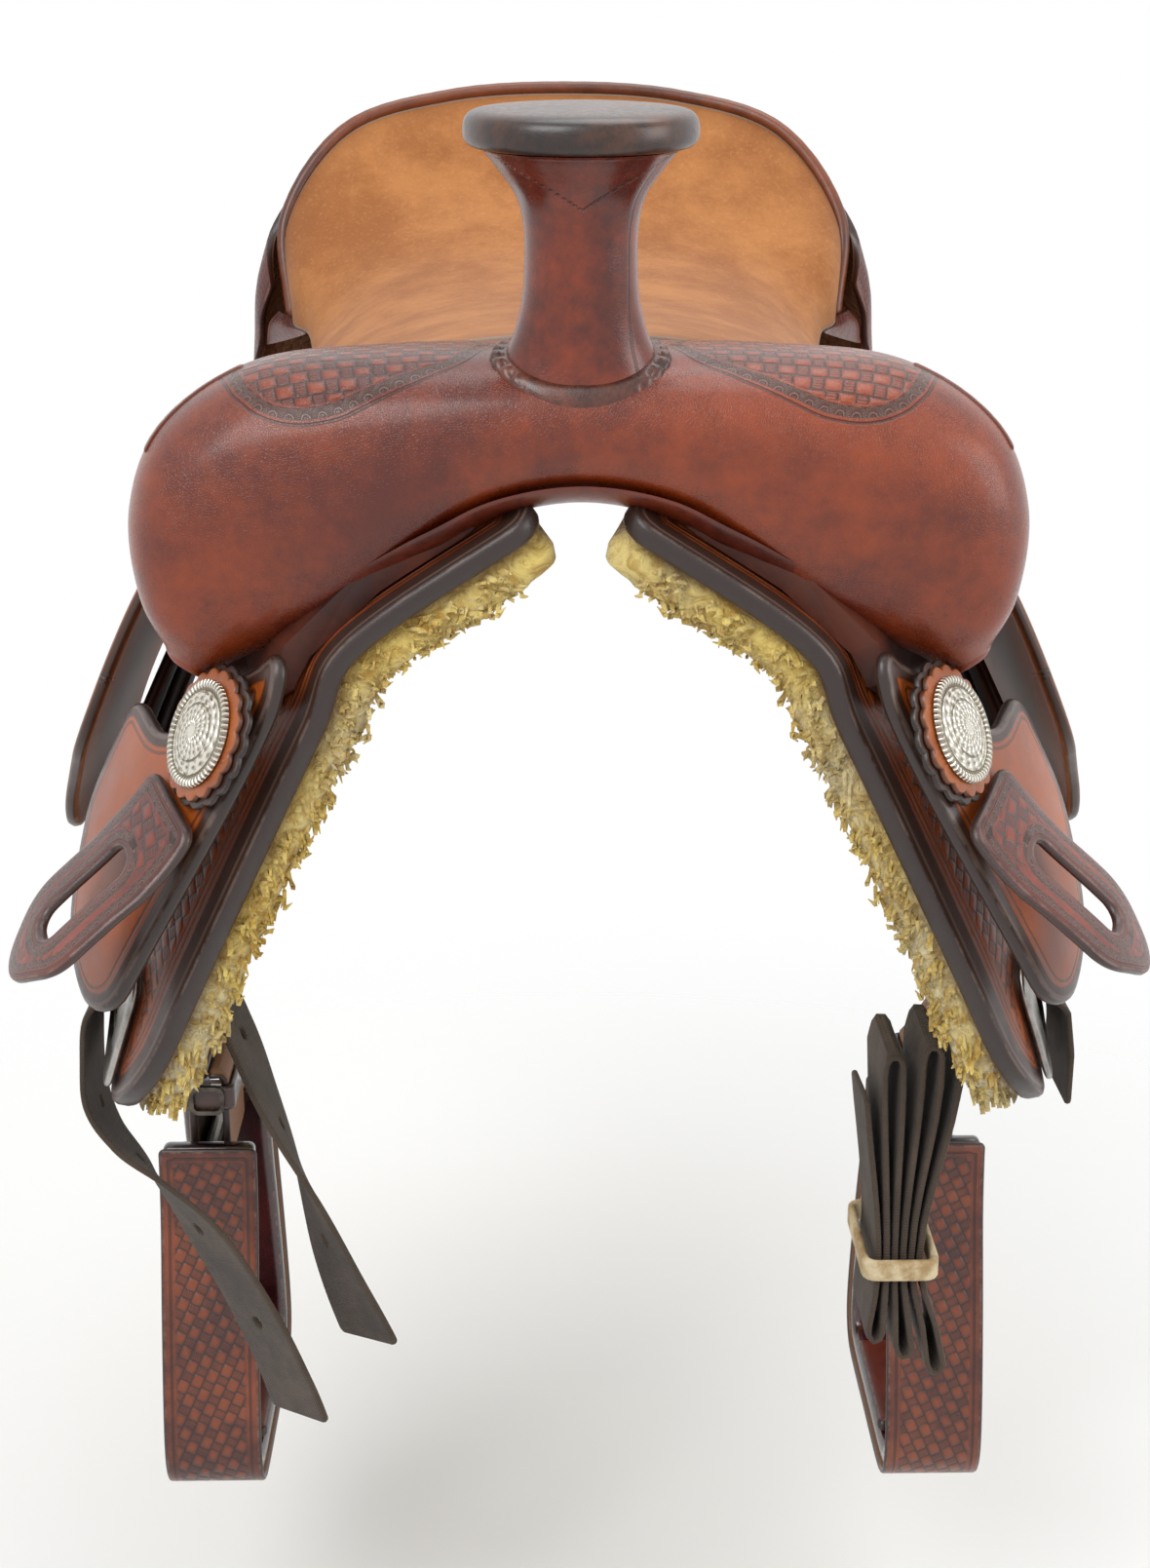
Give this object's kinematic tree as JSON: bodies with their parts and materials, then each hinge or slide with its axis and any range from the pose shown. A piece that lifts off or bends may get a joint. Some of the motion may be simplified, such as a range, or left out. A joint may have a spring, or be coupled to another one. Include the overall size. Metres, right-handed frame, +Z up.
{
  "type": "trail saddle",
  "caption": "Western trail saddle with wide swell fork, capped horn, stamped leather, fleece-lined skirts, hanging fenders, stirrups and rigging straps.",
  "frame": {"origin": "middle of the saddle's bearing on its rack, between the two bars", "axes": "+Z up, -Y toward the horn and the viewer of the picture, +X toward the near side (the picture's right)"},
  "size_m": [0.439, 0.7082, 0.6298],
  "materials": {
    "mahogany_leather": "glossy oiled, stamped in places",
    "tan_leather": "oiled, smooth",
    "roughout_leather": "rough side out, matt",
    "dark_leather": "worn, semi-gloss",
    "nylon_webbing": "ribbed weave, matt",
    "fleece": "deep curly pile",
    "tree_wood": "plain sawn",
    "steel": "dull nickel finish",
    "engraved_silver": "engraved, darkened in the cuts",
    "seat_foam": "matt",
    "pale_thong": "raw edge, matt",
    "burgundy_leather": "polished lining"
  },
  "bodies": {
    "root": {"tree_fork": "tree_wood", "tree_bar_near": "tree_wood", "tree_bar_off": "tree_wood", "fork_cover": "mahogany_leather", "gullet_lining": "dark_leather", "swell_welt_near": "dark_leather", "swell_welt_off": "dark_leather", "horn_core": "steel", "horn_neck_wrap": "mahogany_leather", "horn_cap": "dark_leather", "horn_base_ring": "dark_leather", "seat_suede": "roughout_leather", "seat_padding": "seat_foam", "ground_seat": "steel", "tree_cantle": "tree_wood", "cantle_back": "mahogany_leather", "cantle_binding": "dark_leather", "skirt_near": "tan_leather", "fleece_near": "fleece", "rigging_plate_near": "steel", "front_jockey_near": "tan_leather", "rear_jockey_near": "tan_leather", "rosette_under_near": "dark_leather", "rosette_near": "tan_leather", "concho_near": "engraved_silver", "skirt_off": "tan_leather", "fleece_off": "fleece", "rigging_plate_off": "steel", "front_jockey_off": "tan_leather", "rear_jockey_off": "tan_leather", "rosette_under_off": "dark_leather", "rosette_off": "tan_leather", "concho_off": "engraved_silver"},
    "leather_near": {"stirrup_leather_near": "tan_leather"},
    "fender_near": {"fender_near": "tan_leather", "leather_run_near": "tan_leather"},
    "jockey_near": {"seat_jockey_near": "tan_leather"},
    "loop_near": {"stirrup_loop_near": "tan_leather", "hobble_strap_near": "dark_leather", "hobble_buckle_near": "steel"},
    "stirrup_near": {"stirrup_frame_near": "burgundy_leather", "stirrup_cover_near": "mahogany_leather", "stirrup_tread_near": "tan_leather", "stirrup_bolt_near": "steel"},
    "keeper_near": {"keeper_near": "mahogany_leather"},
    "leather_off": {"stirrup_leather_off": "tan_leather"},
    "fender_off": {"fender_off": "tan_leather", "leather_run_off": "tan_leather"},
    "jockey_off": {"seat_jockey_off": "tan_leather"},
    "loop_off": {"stirrup_loop_off": "tan_leather", "hobble_strap_off": "dark_leather", "hobble_buckle_off": "steel"},
    "stirrup_off": {"stirrup_frame_off": "burgundy_leather", "stirrup_cover_off": "mahogany_leather", "stirrup_tread_off": "tan_leather", "stirrup_bolt_off": "steel"},
    "keeper_off": {"keeper_off": "mahogany_leather"},
    "off_billet": {"off_billet": "nylon_webbing"},
    "latigo": {"latigo": "nylon_webbing", "latigo_tie": "pale_thong"}
  },
  "joints": [
    {"name": "near_leather_swing", "type": "hinge", "parent": "root", "child": "leather_near", "pos_m": [0.159, -0.025, -0.02], "axis": [1, 0, 0], "range_deg": [-18, 18]},
    {"name": "near_fender_lift", "type": "hinge", "parent": "leather_near", "child": "fender_near", "pos_m": [0.159, -0.025, -0.029], "axis": [0, -1, 0], "range_deg": [0, 70]},
    {"name": "near_jockey_lift", "type": "hinge", "parent": "root", "child": "jockey_near", "pos_m": [0.12948, -0.025, 0.04428], "axis": [0, -1, 0], "range_deg": [0, 70]},
    {"name": "near_stirrup_turn", "type": "hinge", "parent": "fender_near", "child": "loop_near", "pos_m": [0.1675, -0.025, -0.2575], "axis": [0, 0, 1], "range_deg": [0, 90]},
    {"name": "near_stirrup_tilt", "type": "hinge", "parent": "loop_near", "child": "stirrup_near", "pos_m": [0.1675, -0.025, -0.2965], "axis": [0, -1, 0], "range_deg": [-45, 45]},
    {"name": "near_keeper_lift", "type": "hinge", "parent": "root", "child": "keeper_near", "pos_m": [0.14704, -0.24955, -0.05742], "axis": [-0.4337, -0.8402, -0.3254], "range_deg": [0, 45]},
    {"name": "off_leather_swing", "type": "hinge", "parent": "root", "child": "leather_off", "pos_m": [-0.159, -0.025, -0.02], "axis": [1, 0, 0], "range_deg": [-18, 18]},
    {"name": "off_fender_lift", "type": "hinge", "parent": "leather_off", "child": "fender_off", "pos_m": [-0.159, -0.025, -0.029], "axis": [0, 1, 0], "range_deg": [0, 70]},
    {"name": "off_jockey_lift", "type": "hinge", "parent": "root", "child": "jockey_off", "pos_m": [-0.12948, -0.025, 0.04428], "axis": [0, 1, 0], "range_deg": [0, 70]},
    {"name": "off_stirrup_turn", "type": "hinge", "parent": "fender_off", "child": "loop_off", "pos_m": [-0.1675, -0.025, -0.2575], "axis": [0, 0, -1], "range_deg": [0, 90]},
    {"name": "off_stirrup_tilt", "type": "hinge", "parent": "loop_off", "child": "stirrup_off", "pos_m": [-0.1675, -0.025, -0.2965], "axis": [0, 1, 0], "range_deg": [-45, 45]},
    {"name": "off_keeper_lift", "type": "hinge", "parent": "root", "child": "keeper_off", "pos_m": [-0.14704, -0.24955, -0.05742], "axis": [-0.4337, 0.8402, 0.3254], "range_deg": [0, 45]},
    {"name": "off_billet_swing", "type": "hinge", "parent": "root", "child": "off_billet", "pos_m": [-0.17296, -0.17733, -0.15146], "axis": [1, 0, 0], "range_deg": [-8, 8]},
    {"name": "latigo_swing", "type": "hinge", "parent": "root", "child": "latigo", "pos_m": [0.17296, -0.17733, -0.15146], "axis": [1, 0, 0], "range_deg": [-8, 8]}
  ],
  "couplings": [
    {"joint": "near_jockey_lift", "follows": "near_fender_lift", "ratio": 1},
    {"joint": "off_jockey_lift", "follows": "off_fender_lift", "ratio": 1}
  ]
}
